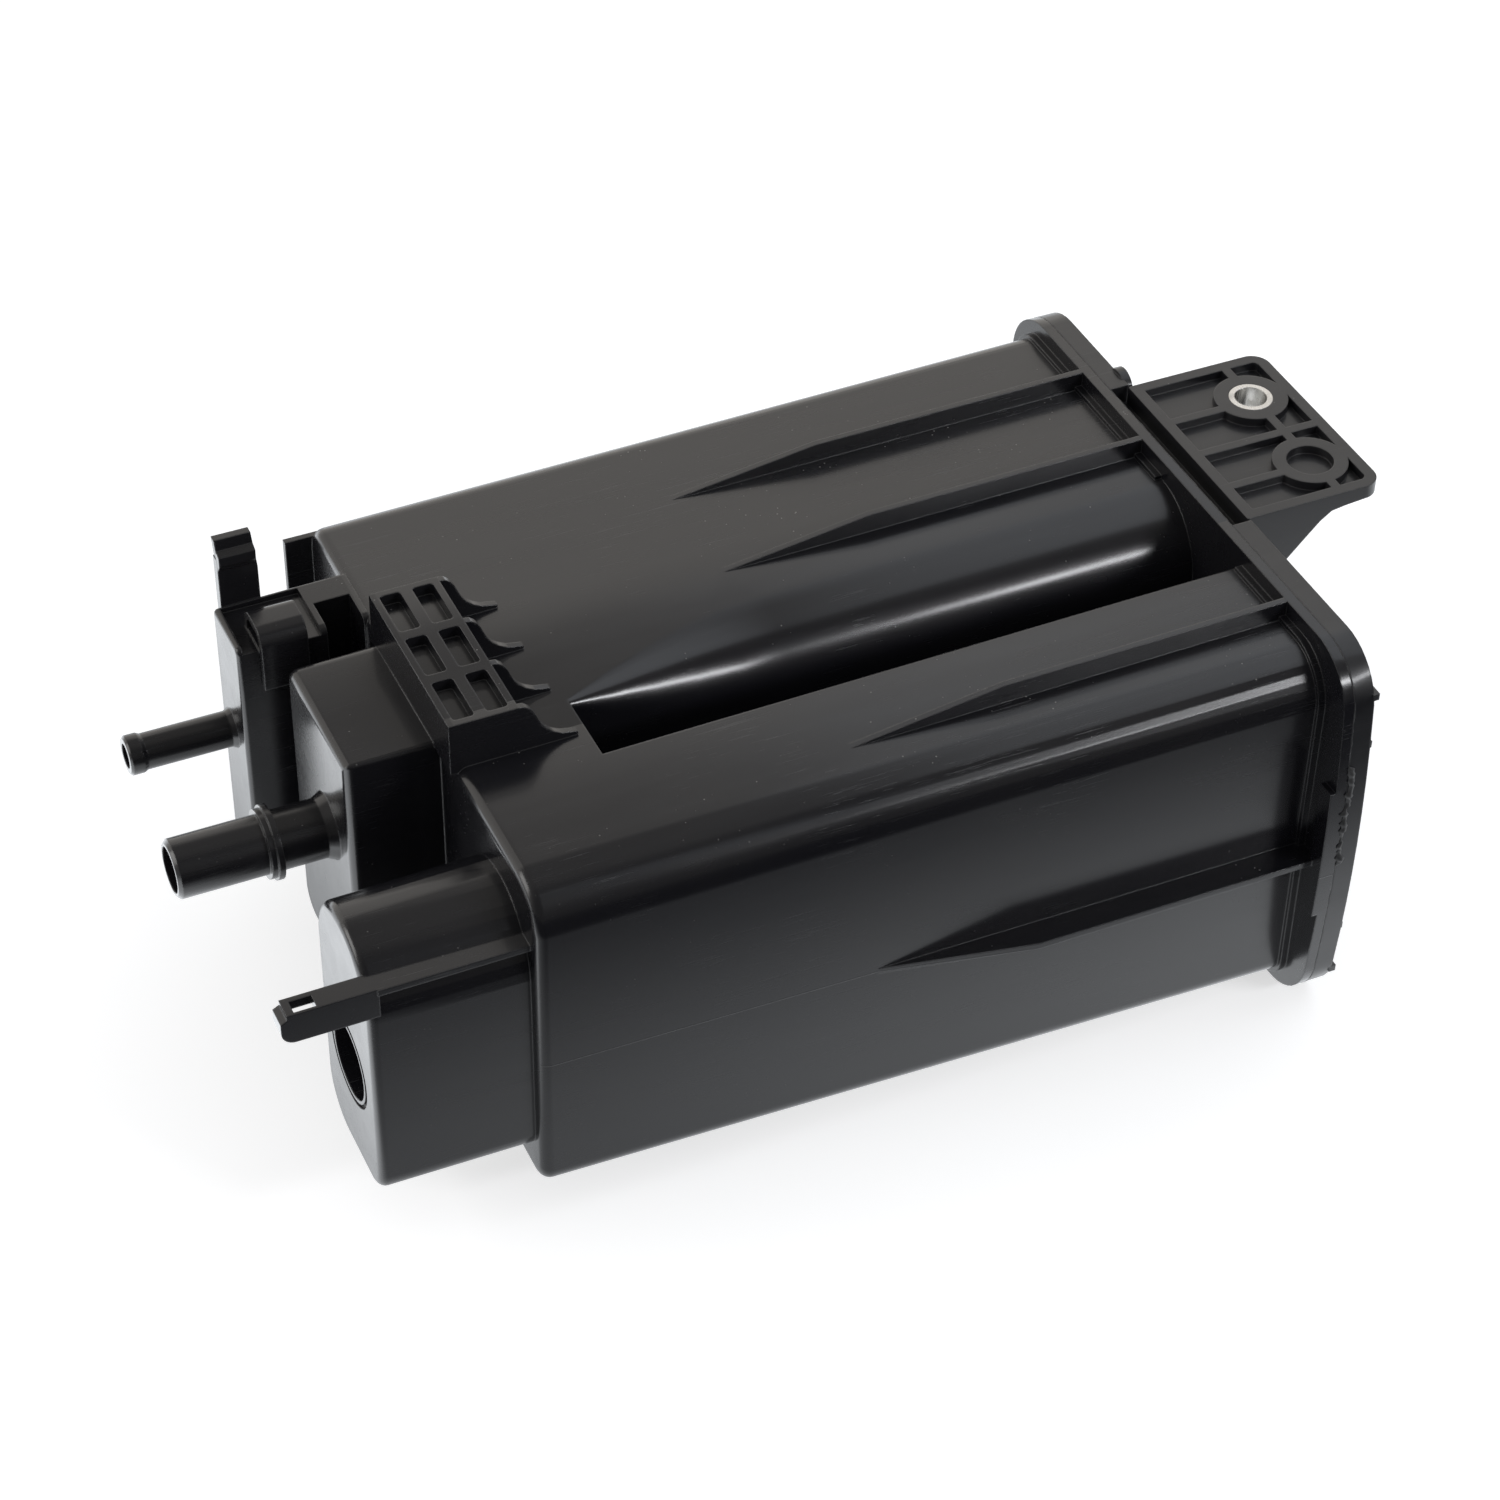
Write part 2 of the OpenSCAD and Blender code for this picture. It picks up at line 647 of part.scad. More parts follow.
// The thin end of the far wall, which stands out past the front wall
module far_fin() {
    fin_len = purge_box_len * 0.21;
    translate([-fin_len, body_width - wall * 0.8, -purge_box_h * 0.75])
        cube([fin_len + front_edge_r * 2, wall * 0.8 - least_r / 2, purge_box_h * 0.75 - far_top_r * 0.55]);
}

// Hose arm: a ledge along the vent box that runs out past its end as a channel with a slot
arm_tip = 1.6;

module hose_arm() {
    y0 = vent_box_y;
    x0 = -vent_box_len - arm_len;
    root = box_edge_r + least_r;
    difference() {
        translate([x0, y0 + arm_w, -arm_depth])
            rotate([90, 0, 0])
                linear_extrude(arm_w)
                    polygon(concat([[arm_len + root, 0], [0, 0]],
                                   [[0, -arm_h * 0.16], [-arm_tip, -arm_h * 0.26]],
                                   arc([arm_h * 0.4 - arm_tip, -arm_h * 0.6], arm_h * 0.4, 180, 270),
                                   [[arm_len + root, -arm_h]]));
        translate([x0 + wall, y0 + wall * 0.7, -arm_depth - arm_h - over])
            cube([arm_len - wall, arm_w, arm_h + over - wall]);
        translate([x0 + arm_len * 0.1, y0 + wall * 0.28, -arm_depth - wall - over])
            cube([arm_len * 0.28, arm_w * 0.64, wall + 2 * over]);
    }
    translate([-vent_box_len + box_edge_r, y0 - least_r, -arm_depth - rib_t])
        cube([vent_box_len - box_edge_r + front_edge_r, arm_w, rib_t]);
}

module canister_body() {
    from_sleeve()
        color(housing_col)
            difference() {
                union() {
                    difference() {
                        union() {
                            body_block();
                            collar();
                        }
                        slot();
                        web_pocket();
                    }
                    flange_plate(body_len, flange_back);
                    flange_lug();
                    difference() {
                        port_boxes();
                        purge_tray();
                    }
                    nipples();
                    for (y = [rib_far_y, rib_mid_y, rib_near_y]) {
                        top_rib(y);
                        bottom_rib(y);
                    }
                    side_ribs();
                    pad_block();
                    gussets();
                    far_fin();
                    hose_arm();
                    upright_snap();
                    strap_loop();
                }
                chamber_insides();
                port_box_insides();
                port_bores();
                vent_groove();
            }
}

// End cover with the bracket moulded on

cover_ribs = 7;
cover_rib_t = 2;
cover_pitch_share = 0.134;

// The gas turns round in this recess, between the two chambers
module plenum() {
    b = [vent_inside(body_len, 0)[0], vent_inside(body_len, 0)[1], main_inside(body_len, 0)[2],
         main_inside(body_len, 0)[3]];
    prism(flange_back - over, recess_x, b, main_inside_radii(0));
}

module cover_rib_grid() {
    h = flange_box[3] - flange_box[1];
    w = flange_box[2] - flange_box[0];
    x0 = cover_back - least_r;
    depth = cover_rib_h + least_r;
    for (i = [1:cover_ribs])
        translate([x0, flange_box[0] + least_r, flange_box[1] + h / 2 + h * (i - (cover_ribs + 1) / 2) * cover_pitch_share - cover_rib_t / 2])
            cube([depth, w - 2 * least_r, cover_rib_t]);
    for (y = [rib_near_y, rib_mid_y, rib_far_y])
        translate([x0, y - cover_rib_t / 2, flange_box[1] + least_r])
            cube([depth, cover_rib_t, h - cover_notch - 2 * least_r]);
}

notch_side = 0.8;
bracket_border = 3.2;
bracket_r = 5;
bracket_rib = 2.6;
pocket_depth = 2.5;
bracket_x0 = cover_back - least_r;
bracket_x1 = flange_back + bracket_len;
boss_y = [sleeve_axis[1], sleeve_axis[1] - boss_pitch];

module bracket_outline(inset) {
    polygon(outline([bracket_x0 + inset, bracket_y + inset, bracket_x1 - inset,
                     bracket_y + bracket_w - inset],
                    [for (r = [bracket_r, least_r, least_r, bracket_r]) max(r - inset, least_r)]));
}

// Pockets: the plate inside its border, less the ribs and the bosses
module bracket_pockets() {
    difference() {
        bracket_outline(bracket_border);
        for (i = [0, 0.5, 1])
            translate([bracket_x0, boss_y[0] - boss_pitch * i - bracket_rib * 1.1])
                square([bracket_len, bracket_rib]);
        translate([sleeve_axis[0] - bracket_rib * 0.4, bracket_y])
            square([bracket_rib, bracket_w]);
        for (y = boss_y)
            translate([sleeve_axis[0], y])
                circle(d = boss_d);
    }
}

web_t = 2.5;
// Lower edge of a web, as shares of the bracket's reach and of the web's depth
web_shares = [[0, 1], [0.1, 0.82], [0.21, 0.7], [0.33, 0.587], [0.47, 0.38], [0.56, 0.25], [0.64, 0.17], [0.74, 0.15]];

module web_profile() {
    reach = bracket_x1 - cover_back;
    x0 = cover_back - least_r;
    polygon(concat([[x0, -bracket_t / 2]],
                   [for (w = web_shares) [x0 + w[0] * reach, -w[1] * web_drop]],
                   [[bracket_x1 - bracket_r, -bracket_t], [bracket_x1 - bracket_r, -bracket_t / 2]]));
}

module bracket() {
    translate([0, 0, bracket_z - bracket_t])
        linear_extrude(bracket_t)
            bracket_outline(0);
    for (y = [bracket_y, boss_y[1] - web_t / 2, boss_y[0] - web_t / 2, bracket_y + bracket_w - web_t])
        translate([0, y + web_t, bracket_z])
            rotate([90, 0, 0])
                linear_extrude(web_t)
                    web_profile();
    translate([sleeve_axis[0], sleeve_axis[1], bracket_z - sleeve_len])
        cylinder(h = sleeve_len - bracket_t / 2, d = boss_d);
    translate([bracket_x0, bracket_y, bracket_z - bracket_t - cover_notch])
        cube([bracket_border, bracket_w, cover_notch + bracket_t / 2]);
}

// A round boss at the top of the cover's outside, beside the bracket
module cover_boss() {
    boss_r = cover_t * 0.9;
    cylinder_x(cover_back - least_r, cover_back + cover_rib_h * 1.4, bracket_y + bracket_w + boss_r + wall / 2,
               flange_box[3] - boss_r * 0.8, boss_r * 2);
}

module end_cover() {
    from_sleeve()
        color(cover_col)
            difference() {
                union() {
                    difference() {
                        flange_plate(flange_back, cover_back);
                        translate([flange_back - over, bracket_y - notch_side, flange_box[3] - cover_notch])
                            cube([cover_t + 2 * over, bracket_w + 2 * notch_side, cover_notch + over]);
                    }
                    cover_rib_grid();
                    cover_boss();
                    bracket();
                }
                plenum();
                translate([0, 0, bracket_z - pocket_depth])
                    linear_extrude(pocket_depth + over)
                        bracket_pockets();
                translate([sleeve_axis[0], sleeve_axis[1], bracket_z - sleeve_len - over])
                    cylinder(h = sleeve_len + 2 * over, d = sleeve_od);
                translate([sleeve_axis[0], boss_y[1], bracket_z - pocket_depth])
                    cylinder(h = pocket_depth + over, d = blind_d);
            }
}

module bracket_sleeve() {
    from_sleeve()
        color(steel_col)
            translate([sleeve_axis[0], sleeve_axis[1], bracket_z - sleeve_len])
                difference() {
                    cylinder(h = sleeve_len, d = sleeve_od);
                    translate([0, 0, -over])
                        cylinder(h = sleeve_len + 2 * over, d = sleeve_hole);
                }
}

// Inner pieces, each cut to the chamber at its own place
grid_x = wall + grid_stand;
felt_x = grid_x + grid_t;
bed_x = felt_x + felt_t;
plate_x = flange_back - plate_back - plate_t;
cover_felt_x = plate_x - felt_t;
foot_d = 4;

module hole_field(x0, x1, b) {
    ny = floor((b[2] - b[0] - 2 * hole_d) / hole_pitch);
    nz = floor((b[3] - b[1] - 2 * hole_d) / hole_pitch);
    for (i = [0:ny], j = [0:nz])
        cylinder_x(x0 - over, x1 + over, (b[0] + b[2]) / 2 + (i - ny / 2) * hole_pitch,
                   (b[1] + b[3]) / 2 + (j - nz / 2) * hole_pitch, hole_d);
}

module slab(x, t, b, radii) {
    prism(x, x + t, b, radii);
}

// A grid on four feet that stand on the front wall, clear of the port boxes
module port_grid(b, radii, top_y) {
    color(grid_col)
        difference() {
            union() {
                slab(grid_x, grid_t, b, radii);
                for (p = [[b[0] + foot_d, b[1] + foot_d], [b[2] - foot_d, b[1] + foot_d],
                          [b[2] - foot_d, b[3] - foot_d], [top_y, b[3] - foot_d]])
                    cylinder_x(wall, grid_x + grid_t / 2, p[0], p[1], foot_d);
            }
            hole_field(grid_x, grid_x + grid_t, b);
        }
}

// A pressure plate with a low rim
module pressure_plate(b, radii) {
    rim = plate_t * 0.8;
    color(grid_col)
        difference() {
            union() {
                slab(plate_x, plate_t, b, radii);
                slab(plate_x + plate_t / 2, plate_t / 2 + rim, b, radii);
            }
            slab(plate_x + plate_t, rim + over, inset_box(b, wall), inset_radii(radii, wall));
            hole_field(plate_x, plate_x + plate_t, b);
        }
}

module bed(box_a, box_b, radii) {
    color(carbon_col)
        loft([[bed_x, outline(box_a, radii)], [cover_felt_x, outline(box_b, radii)]]);
}

// A compression spring between a pressure plate and the cover, with its wire swept round an eight-sided section
spring_steps = 20;
wire_sides = 8;

module spring(y, z) {
    x0 = plate_x + plate_t + wire_d / 2;
    x1 = recess_x - wire_d / 2;
    n = spring_turns * spring_steps;
    points = [for (i = [0:n]) let (a = 360 * i / spring_steps, x = x0 + (x1 - x0) * i / n)
        for (j = [0:wire_sides - 1]) let (b = 360 * j / wire_sides, r = spring_d / 2 + wire_d / 2 * cos(b))
            [x + wire_d / 2 * sin(b), y + r * cos(a), z + r * sin(a)]];
    sides = [for (i = [0:n - 1]) for (j = [0:wire_sides - 1])
        let (k = (j + 1) % wire_sides, p = i * wire_sides + j, q = i * wire_sides + k, s = p + wire_sides,
             t = q + wire_sides)
        each [[p, q, t], [p, t, s]]];
    front = [for (j = [wire_sides - 1:-1:0]) j];
    back = [for (j = [0:wire_sides - 1]) n * wire_sides + j];
    color(steel_col)
        polyhedron(points, concat([front], sides, [back]), convexity = 8);
}

main_mid_z = (bottom_at(plate_x) + top_at(plate_x)) / 2;
main_mid_y = (main_inside(plate_x, 0)[0] + main_inside(plate_x, 0)[2]) / 2;
vent_mid_y = (vent_inside(plate_x, 0)[0] + vent_inside(plate_x, 0)[2]) / 2;

between_boxes_y = (tank_box_y + tank_box_w + purge_box_y) / 2;

module main_port_grid() from_sleeve()
    port_grid(main_inside(wall, inner_gap), main_inside_radii(inner_gap), between_boxes_y);
module main_port_felt() from_sleeve() color(felt_col)
    slab(felt_x, felt_t, main_inside(wall, inner_gap), main_inside_radii(inner_gap));
module main_carbon_bed() from_sleeve()
    bed(main_inside(bed_x, inner_gap), main_inside(cover_felt_x, inner_gap), main_inside_radii(inner_gap));
module main_cover_felt() from_sleeve() color(felt_col)
    slab(cover_felt_x, felt_t, main_inside(cover_felt_x, inner_gap), main_inside_radii(inner_gap));
module main_pressure_plate() from_sleeve()
    pressure_plate(main_inside(cover_felt_x, inner_gap), main_inside_radii(inner_gap));
module main_spring_far() from_sleeve() spring(main_mid_y + spring_d * 0.64, main_mid_z);
module main_spring_near() from_sleeve() spring(main_mid_y - spring_d * 0.64, main_mid_z);

module vent_port_grid() from_sleeve()
    port_grid(vent_inside(wall, inner_gap), vent_inside_radii(inner_gap), near_top_r);
module vent_port_felt() from_sleeve() color(felt_col)
    slab(felt_x, felt_t, vent_inside(wall, inner_gap), vent_inside_radii(inner_gap));
module vent_carbon_bed() from_sleeve()
    bed(vent_inside(bed_x, inner_gap), vent_inside(cover_felt_x, inner_gap), vent_inside_radii(inner_gap));
module vent_cover_felt() from_sleeve() color(felt_col)
    slab(cover_felt_x, felt_t, vent_inside(cover_felt_x, inner_gap), vent_inside_radii(inner_gap));
module vent_pressure_plate() from_sleeve()
    pressure_plate(vent_inside(cover_felt_x, inner_gap), vent_inside_radii(inner_gap));
module vent_spring_upper() from_sleeve() spring(vent_mid_y, main_mid_z + spring_d * 0.8);
module vent_spring_lower() from_sleeve() spring(vent_mid_y, main_mid_z - spring_d * 0.8);

// Foam filters, held in the port boxes
filter_len = 8;

module port_filter(b, radii) {
    in = wall + box_draft + inner_gap;
    color(foam_col)
        prism(wall - filter_len, wall, inset_box(b, in), inset_radii(radii, in));
}

module tank_port_filter() from_sleeve() port_filter(tank_box, tank_radii);
module purge_port_filter() from_sleeve() port_filter(purge_low_box, purge_radii);
module vent_port_filter() from_sleeve() port_filter(vent_box, vent_radii);

canister_body();
end_cover();
bracket_sleeve();
main_port_grid();
main_port_felt();
main_carbon_bed();
main_cover_felt();
main_pressure_plate();
main_spring_far();
main_spring_near();
vent_port_grid();
vent_port_felt();
vent_carbon_bed();
vent_cover_felt();
vent_pressure_plate();
vent_spring_upper();
vent_spring_lower();
tank_port_filter();
purge_port_filter();
vent_port_filter();
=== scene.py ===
import json
import math
import random

import bmesh
import bpy
from mathutils import Matrix, Vector


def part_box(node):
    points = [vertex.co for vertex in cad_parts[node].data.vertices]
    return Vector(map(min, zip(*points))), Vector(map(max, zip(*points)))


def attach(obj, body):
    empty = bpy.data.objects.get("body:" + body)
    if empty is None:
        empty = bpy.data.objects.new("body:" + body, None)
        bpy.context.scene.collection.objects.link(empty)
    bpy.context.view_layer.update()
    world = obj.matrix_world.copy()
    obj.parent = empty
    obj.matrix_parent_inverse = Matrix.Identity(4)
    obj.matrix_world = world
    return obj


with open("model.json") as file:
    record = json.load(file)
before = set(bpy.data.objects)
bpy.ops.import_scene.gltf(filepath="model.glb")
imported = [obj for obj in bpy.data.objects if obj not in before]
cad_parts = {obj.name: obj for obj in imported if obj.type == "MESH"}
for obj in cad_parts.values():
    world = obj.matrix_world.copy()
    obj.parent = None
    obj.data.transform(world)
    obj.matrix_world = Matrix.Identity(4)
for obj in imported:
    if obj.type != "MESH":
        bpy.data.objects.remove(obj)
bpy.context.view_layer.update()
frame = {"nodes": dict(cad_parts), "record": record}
nodes = frame["nodes"]
mm = 0.001
bodyLow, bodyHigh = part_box("canister_body")
coverLow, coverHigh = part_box("end_cover")
print("frame loaded:", len(nodes), "nodes")

# Camera, at the photograph's place and angle
camera = {
    "place": (-0.463473, -0.678570, 0.574115),
    "right": (0.910621, -0.413003, 0.014061),
    "up": (0.260670, 0.600483, 0.755957),
    "back": (-0.320656, -0.684725, 0.654470),
    "lens": 88.889,
    "sensor": 36,
    "clip": (0.05, 30),
}


def makeCamera(p):
    data = bpy.data.cameras.new("camera")
    data.sensor_width = p["sensor"]
    data.lens = p["lens"]
    data.clip_start, data.clip_end = p["clip"]
    obj = bpy.data.objects.new("camera", data)
    bpy.context.scene.collection.objects.link(obj)
    turn = Matrix((p["right"], p["up"], p["back"])).transposed().to_4x4()
    obj.matrix_world = Matrix.Translation(p["place"]) @ turn
    bpy.context.scene.camera = obj


makeCamera(camera)
print("camera set")


# Material wiring: a socket with plain arithmetic, and a finish that holds its tree
class Wire:
    def __init__(self, finish, socket):
        self.finish = finish
        self.socket = socket

    def out(self, name):
        return Wire(self.finish, self.socket.node.outputs[name])

    def maths(self, kind, *values, clamp=False):
        settings = {"operation": kind, "use_clamp": clamp}
        return self.finish.add("ShaderNodeMath", settings, dict(enumerate(values)))

    def __add__(self, other):
        return self.maths("ADD", self, other)

    def __sub__(self, other):
        return self.maths("SUBTRACT", self, other)

    def __rsub__(self, other):
        return self.maths("SUBTRACT", other, self)

    def __mul__(self, other):
        return self.maths("MULTIPLY", self, other)

    def __pow__(self, other):
        return self.maths("POWER", self, other)

    def __gt__(self, other):
        return self.maths("GREATER_THAN", self, other)

    def __lt__(self, other):
        return self.maths("LESS_THAN", self, other)

    def size(self):
        return self.maths("ABSOLUTE", self)

    def clip(self):
        return self.maths("ADD", self, 0.0, clamp=True)

    def rise(self, low, high, to=0.0, top=1.0):
        # Goes smoothly from one level to another, between two values of this one
        return self.finish.add(
            "ShaderNodeMapRange",
            {"interpolation_type": "SMOOTHSTEP"},
            {"Value": self, "From Min": low, "From Max": high, "To Min": to, "To Max": top},
        )

    __radd__ = __add__
    __rmul__ = __mul__


class Finish:
    def __init__(self, name, shelf=bpy.data.materials, place="Object"):
        self.mat = shelf.new(name)
        self.mat.use_nodes = True
        self.tree = self.mat.node_tree
        self.tree.nodes.clear()
        self.place = self.add("ShaderNodeTexCoord").out(place)

    def add(self, kind, settings=None, sockets=None):
        node = self.tree.nodes.new(kind)
        for key, value in (settings or {}).items():
            setattr(node, key, value)
        for key, value in (sockets or {}).items():
            if isinstance(value, Wire):
                self.tree.links.new(value.socket, node.inputs[key])
            else:
                node.inputs[key].default_value = value
        live = [s for s in node.outputs if s.enabled]
        return Wire(self, live[0]) if live else node

    def stretched(self, scale, turn=(0, 0, 0)):
        sockets = {"Vector": self.place, "Scale": scale, "Rotation": turn}
        return self.add("ShaderNodeMapping", None, sockets)

    def grain(self, scale, detail=3.0, rough=0.5, at=None, twist=0.0):
        sockets = {"Vector": at or self.place, "Scale": scale, "Detail": detail}
        sockets.update({"Roughness": rough, "Distortion": twist})
        return self.add("ShaderNodeTexNoise", {"noise_dimensions": "3D"}, sockets)

    def cells(self, scale, feature="F1", jitter=1.0):
        sockets = {"Vector": self.place, "Scale": scale, "Randomness": jitter}
        return self.add("ShaderNodeTexVoronoi", {"feature": feature}, sockets)

    def mix(self, amount, first, second):
        first, second = (c if isinstance(c, Wire) else (*c, 1) for c in (first, second))
        return self.add("ShaderNodeMix", {"data_type": "RGBA"}, {0: amount, 6: first, 7: second})

    def blend(self, amount, first, second):
        return self.add("ShaderNodeMix", {"data_type": "FLOAT"}, {0: amount, 2: first, 3: second})

    def axes(self, vector):
        split = self.add("ShaderNodeSeparateXYZ", None, {"Vector": vector})
        return split.out("X"), split.out("Y"), split.out("Z")

    def facing(self):
        # The way a face points, without any smoothing
        return self.add("ShaderNodeNewGeometry").out("True Normal")

    def alike(self, normal):
        # 1 where a normal still points the way its face does
        sockets = {0: normal, 1: self.facing()}
        return self.add("ShaderNodeVectorMath", {"operation": "DOT_PRODUCT"}, sockets)

    def rounded(self, radius, samples=6):
        return self.add("ShaderNodeBevel", {"samples": samples}, {"Radius": radius})

    def bump(self, height, depth, strength=1.0, normal=None):
        sockets = {"Height": height, "Distance": depth, "Strength": strength}
        if normal:
            sockets["Normal"] = normal
        return self.add("ShaderNodeBump", None, sockets)

    def lean(self, normal, y):
        # Leans a normal over along Y
        aside = self.add("ShaderNodeCombineXYZ", None, {"Y": y})
        both = self.add("ShaderNodeVectorMath", {"operation": "ADD"}, {0: normal, 1: aside})
        return self.add("ShaderNodeVectorMath", {"operation": "NORMALIZE"}, {0: both})

    def seenBy(self, *rays):
        # 1 for rays of these kinds
        path = self.add("ShaderNodeLightPath")
        mask = path.out(rays[0])
        for ray in rays[1:]:
            mask = mask.maths("MAXIMUM", mask, path.out(ray))
        return mask

    def surface(self, **sockets):
        names = {key.replace("_", " "): value for key, value in sockets.items()}
        shader = self.add("ShaderNodeBsdfPrincipled", None, names)
        self.add("ShaderNodeOutputMaterial", None, {"Surface": shader})
        return self.mat


# Black moulded plastic of the housing and the cover
plastic = {
    "colour": (0.0083, 0.0083, 0.0108),
    "paler": (0.0116, 0.0113, 0.0130),
    # pale scuff colour of real wear, also used as a painted highlight along the rounded edges
    "scuffAndHighlight": (0.085, 0.085, 0.088),
    "dust": (0.30, 0.29, 0.27),
    "roughness": 0.245,
    "ior": 1.5,
    "skin": 0.36,  # the moulded skin's clear gloss
    "skinRoughness": 0.15,
    "grainDepth": 0.016 * mm,
    "edgeRadius": 0.6 * mm,
    # how much the rounded edges take that pale colour: part real wear, part painted highlight
    "edgeWearAndHighlight": 0.45,
    "scratchWear": 0.35,
    "frontWall": -245.5 * mm,
}

# The faint line of the mould along the sides, a shallow groove
mouldLine = {
    "height": -62.6 * mm,  # at the front wall
    "fall": -0.0167,
    "half": (0.22 * mm, 0.06 * mm),  # outer and inner half width
    "groove": 3.0,
    "wear": 0.35,
}

# The tops sink a little towards the near side
tops = {
    "sink": ((5 * mm, -45 * mm, 5.0), (-45 * mm, -115 * mm, 2.8)),  # from y, to y, tilt per metre
    "above": -12 * mm,
    "portEnd": (-240 * mm, -50 * mm, 1.6, 1.0),  # from x, to x, and how strongly at both
    "boxTilt": 0.07,
}


def sunkTilt(p, wall, x, y, z):
    tilt = 0.0
    for start, end, rate in p["sink"]:
        tilt = tilt + (start - y) * rate * (y < start) * (y > end)
    tilt = tilt * (z > p["above"]) * x.rise(*p["portEnd"])
    return tilt + (x < wall) * p["boxTilt"]


def plasticFinish(name, p, housing):
    f = Finish(name)
    x, y, z = f.axes(f.place)
    ny, nz = f.axes(f.facing())[1:]
    cloud = f.grain(9, 4, 0.55)
    flow = f.grain(1, 3, 0.6, at=f.stretched((14, 120, 120)), twist=0.4)
    pores = f.grain(900, 2, 0.6)
    orange = f.grain(140, 3, 0.55)
    # Long fine scratches, one set along the canister and one askew
    alongSet = f.grain(1, 4, 0.75, at=f.stretched((24, 900, 900)))
    askewSet = f.grain(1, 4, 0.75, at=f.stretched((60, 1400, 1400), (0.3, 0.5, 0.9)))
    patches = f.grain(26, 3, 0.6).rise(0.47, 0.66)
    scratch = (alongSet.rise(0.60, 0.66) + askewSet.rise(0.61, 0.67)).clip() * patches
    specks = f.cells(420).rise(0.12, 0.05) * f.grain(60, 2, 0.6).rise(0.52, 0.66)
    upward = nz.rise(0.5, 0.95)
    colour = f.mix(cloud.rise(0.3, 0.7), p["colour"], p["paler"])
    colour = f.mix(scratch * p["scratchWear"] * (upward * 0.8 + 0.2), colour, p["scuffAndHighlight"])
    colour = f.mix(specks * (upward * 0.5 + 0.1), colour, p["dust"])
    soft = f.rounded(p["edgeRadius"])
    # Paler rounded edges: part real wear, part a painted highlight where the edges catch the lamp
    wornAndLitEdge = (1 - f.alike(soft)).rise(0.03, 0.22) * cloud.rise(0.35, 0.6, 0.3, 1.0)
    colour = f.mix(wornAndLitEdge * p["edgeWearAndHighlight"], colour, p["scuffAndHighlight"])
    uneven = cloud.rise(0.25, 0.75, -0.035, 0.035) + flow.rise(0.3, 0.7, -0.03, 0.03)
    rough = uneven + p["roughness"] + scratch * 0.12 + specks * 0.2
    height = orange * 0.5 + pores * 0.10 + flow * 0.5 - scratch * 0.5
    if housing:
        behind = x - p["frontWall"]
        offset = (z - behind * mouldLine["fall"]) - mouldLine["height"]
        line = offset.size().rise(*mouldLine["half"]) * (ny < -0.6) * (x > p["frontWall"])
        height = height + line * mouldLine["groove"]
        colour = f.mix(line * mouldLine["wear"], colour, p["scuffAndHighlight"])
    normal = f.bump(height, p["grainDepth"], 1.0, soft)
    if housing:
        level = nz.rise(0.90, 0.99)
        normal = f.lean(normal, sunkTilt(tops, p["frontWall"], x, y, z) * level * -1.0)
    return f.surface(
        Base_Color=colour,
        Roughness=rough,
        IOR=p["ior"],
        Coat_Weight=p["skin"],
        Coat_Roughness=p["skinRoughness"],
        Normal=normal,
    )


sleeve = {
    "colour": (0.74, 0.73, 0.71),
    "worn": (0.46, 0.44, 0.40),
    "roughness": 0.22,
    "rings": (900, 900, 60),
    "ringDepth": 0.02 * mm,
    "edgeRadius": 0.3 * mm,
}
spring = {**sleeve, "colour": (0.42, 0.42, 0.42), "rings": (260, 260, 260)}


def steelFinish(name, p):
    f = Finish(name)
    rings = f.grain(1, 4, 0.65, at=f.stretched(p["rings"]))
    stain = f.grain(160, 4, 0.6).rise(0.48, 0.7)
    colour = f.mix(stain * 0.6, p["colour"], p["worn"])
    rough = rings.rise(0.3, 0.7, -0.06, 0.08) + stain * 0.18 + p["roughness"]
    normal = f.bump(rings, p["ringDepth"], 0.7, f.rounded(p["edgeRadius"]))
    return f.surface(Base_Color=colour, Metallic=1.0, Roughness=rough, Normal=normal)


grid = {
    "colour": (0.035, 0.035, 0.038),
    "paler": (0.055, 0.055, 0.058),
    "roughness": (0.5, 0.62),
    "grainDepth": 0.03 * mm,
    "edgeRadius": 0.4 * mm,
}


def gridFinish(name, p):
    f = Finish(name)
    cloud = f.grain(60, 3, 0.6)
    colour = f.mix(cloud.rise(0.3, 0.7), p["colour"], p["paler"])
    normal = f.bump(f.grain(600, 3, 0.6), p["grainDepth"], 0.8, f.rounded(p["edgeRadius"]))
    rough = cloud.rise(0.2, 0.8, *p["roughness"])
    return f.surface(Base_Color=colour, Roughness=rough, Normal=normal)


felt = {
    "colour": (0.56, 0.53, 0.46),
    "paler": (0.82, 0.80, 0.74),
    "hairs": (700, 2300, 900),
    "hairTurn": (0.4, 0.7, 0.2),
    "depth": 0.5 * mm,
    "roughness": (0.86, 0.97),
    "sheen": 0.3,
}


def feltFinish(name, p):
    f = Finish(name)
    hairs = f.grain(1, 5, 0.75, at=f.stretched(p["hairs"], p["hairTurn"]), twist=2.0)
    tufts = f.grain(260, 4, 0.7)
    colour = f.mix(hairs.rise(0.35, 0.7), p["colour"], p["paler"])
    normal = f.bump(hairs + tufts * 0.8, p["depth"], 0.8)
    rough = tufts.rise(0.2, 0.8, *p["roughness"])
    return f.surface(Base_Color=colour, Roughness=rough, Sheen_Weight=p["sheen"], Normal=normal)


carbon = {
    "colour": (0.022, 0.022, 0.022),
    # painted shade in the gaps between the pellets
    "gapShade": (0.004, 0.004, 0.004),
    "pellets": 430,  # to the metre
    "depth": 0.9 * mm,
    "roughness": (0.6, 0.8),
}


